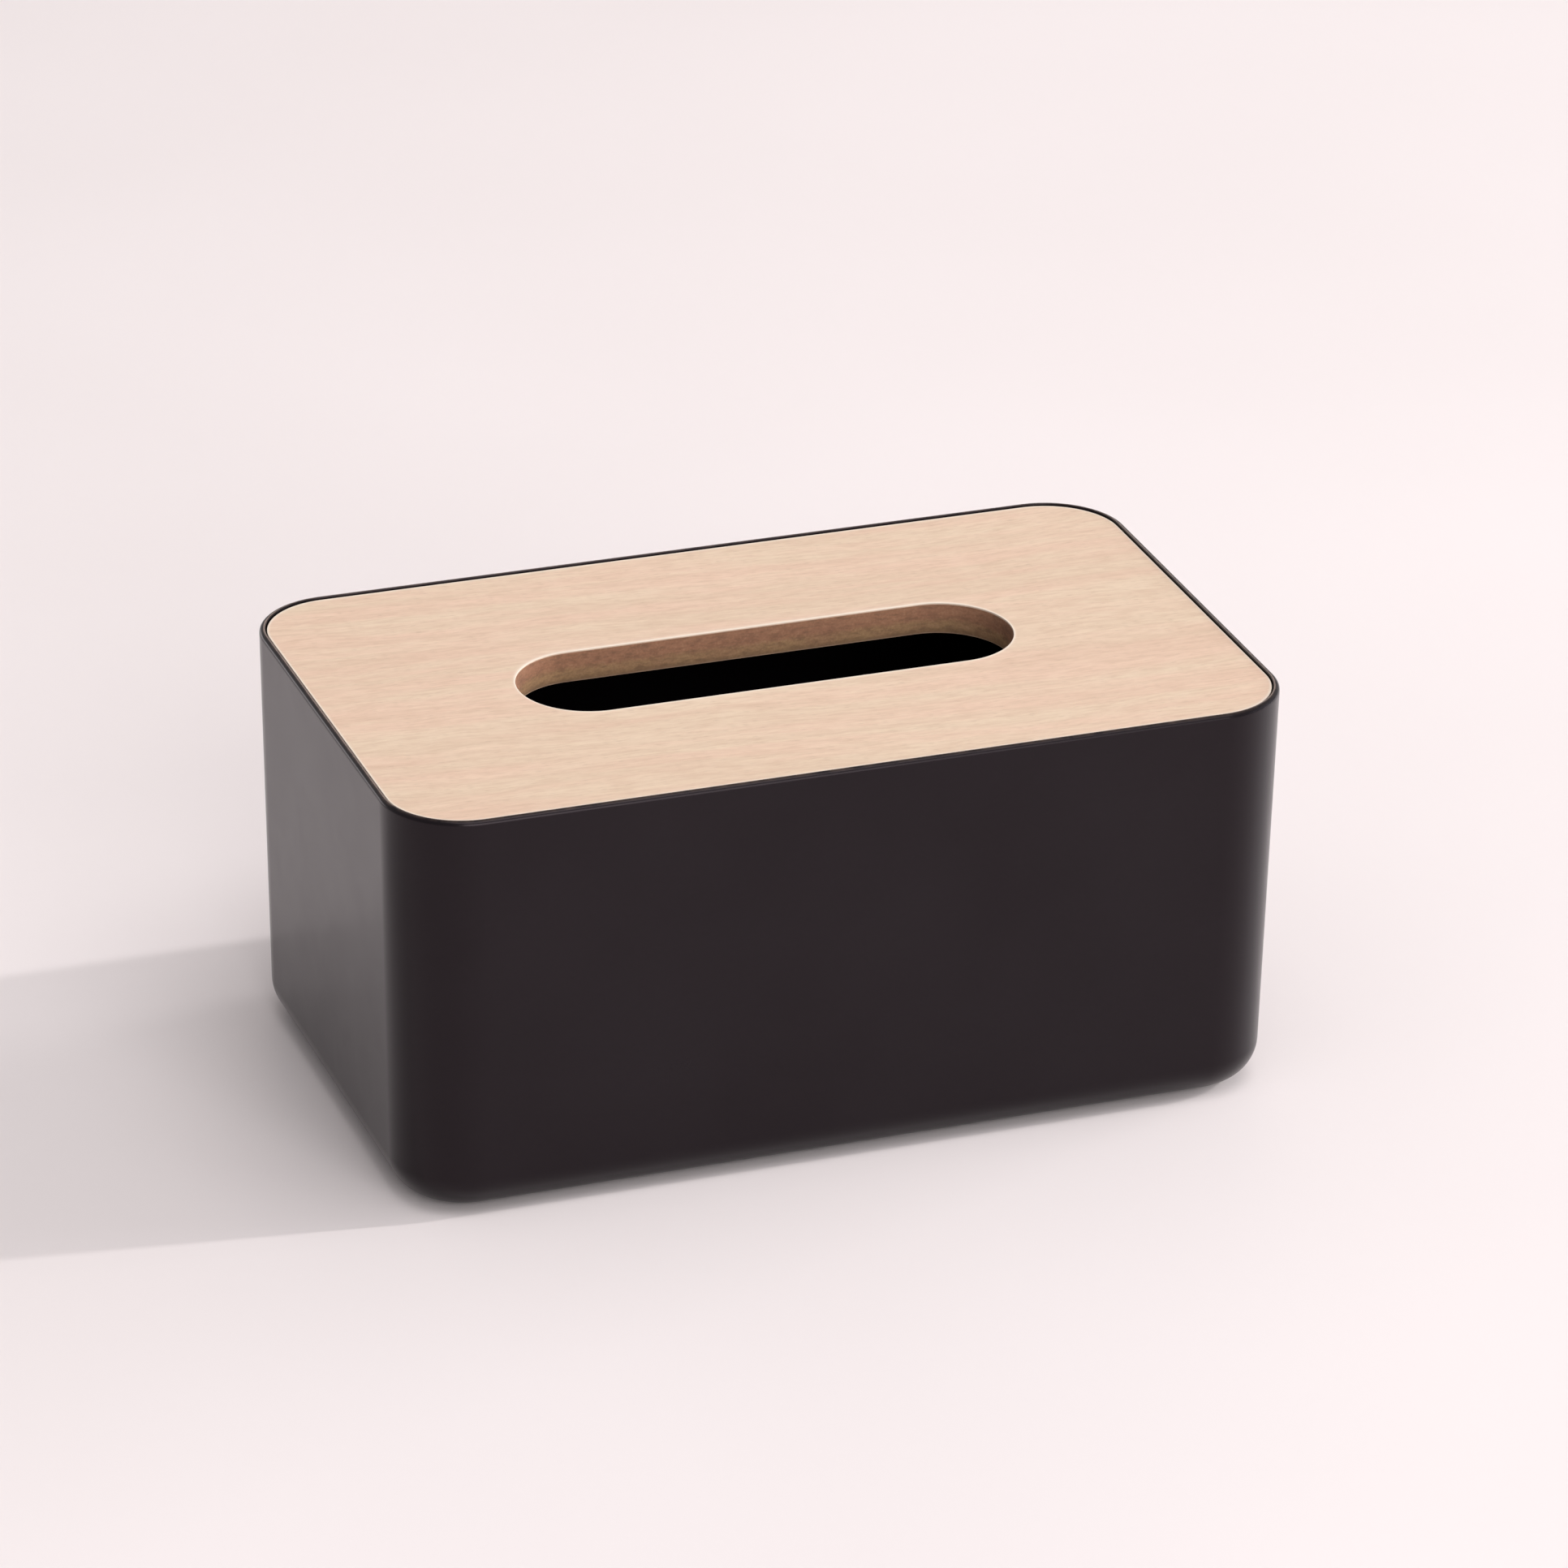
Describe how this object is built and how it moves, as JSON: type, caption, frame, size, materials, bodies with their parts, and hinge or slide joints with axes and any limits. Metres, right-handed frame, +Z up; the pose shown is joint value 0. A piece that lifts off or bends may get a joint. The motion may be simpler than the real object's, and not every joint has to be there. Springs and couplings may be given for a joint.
{
  "type": "tissue box",
  "caption": "Rectangular tissue box: a black moulded tub with rounded corners and a lift-off wood-faced lid with a long rounded dispensing slot.",
  "frame": {"origin": "centre of the footprint, on the surface the box stands on", "axes": "+X along the long side, towards the right seen from the front; +Y towards the back; +Z up, out of the lid"},
  "size_m": [0.2506, 0.1506, 0.1163],
  "materials": {
    "tub_plastic": "satin black, fine moulded texture",
    "lid_board": "raw fibreboard edge",
    "lid_veneer": "pale beech veneer, matt lacquer, grain along X",
    "lid_backing": "matt balancing veneer",
    "foot_rubber": "matt"
  },
  "bodies": {
    "tub": {"tub": "tub_plastic", "foot_front_left": "foot_rubber", "foot_front_right": "foot_rubber", "foot_back_left": "foot_rubber", "foot_back_right": "foot_rubber"},
    "lid": {"lid_core": "lid_board", "lid_top_veneer": "lid_veneer", "lid_backing_veneer": "lid_backing"}
  },
  "joints": [
    {"name": "lid_lift", "type": "slide", "parent": "tub", "child": "lid", "axis": [0, 0, 1], "range_m": [0, 0.15]}
  ]
}
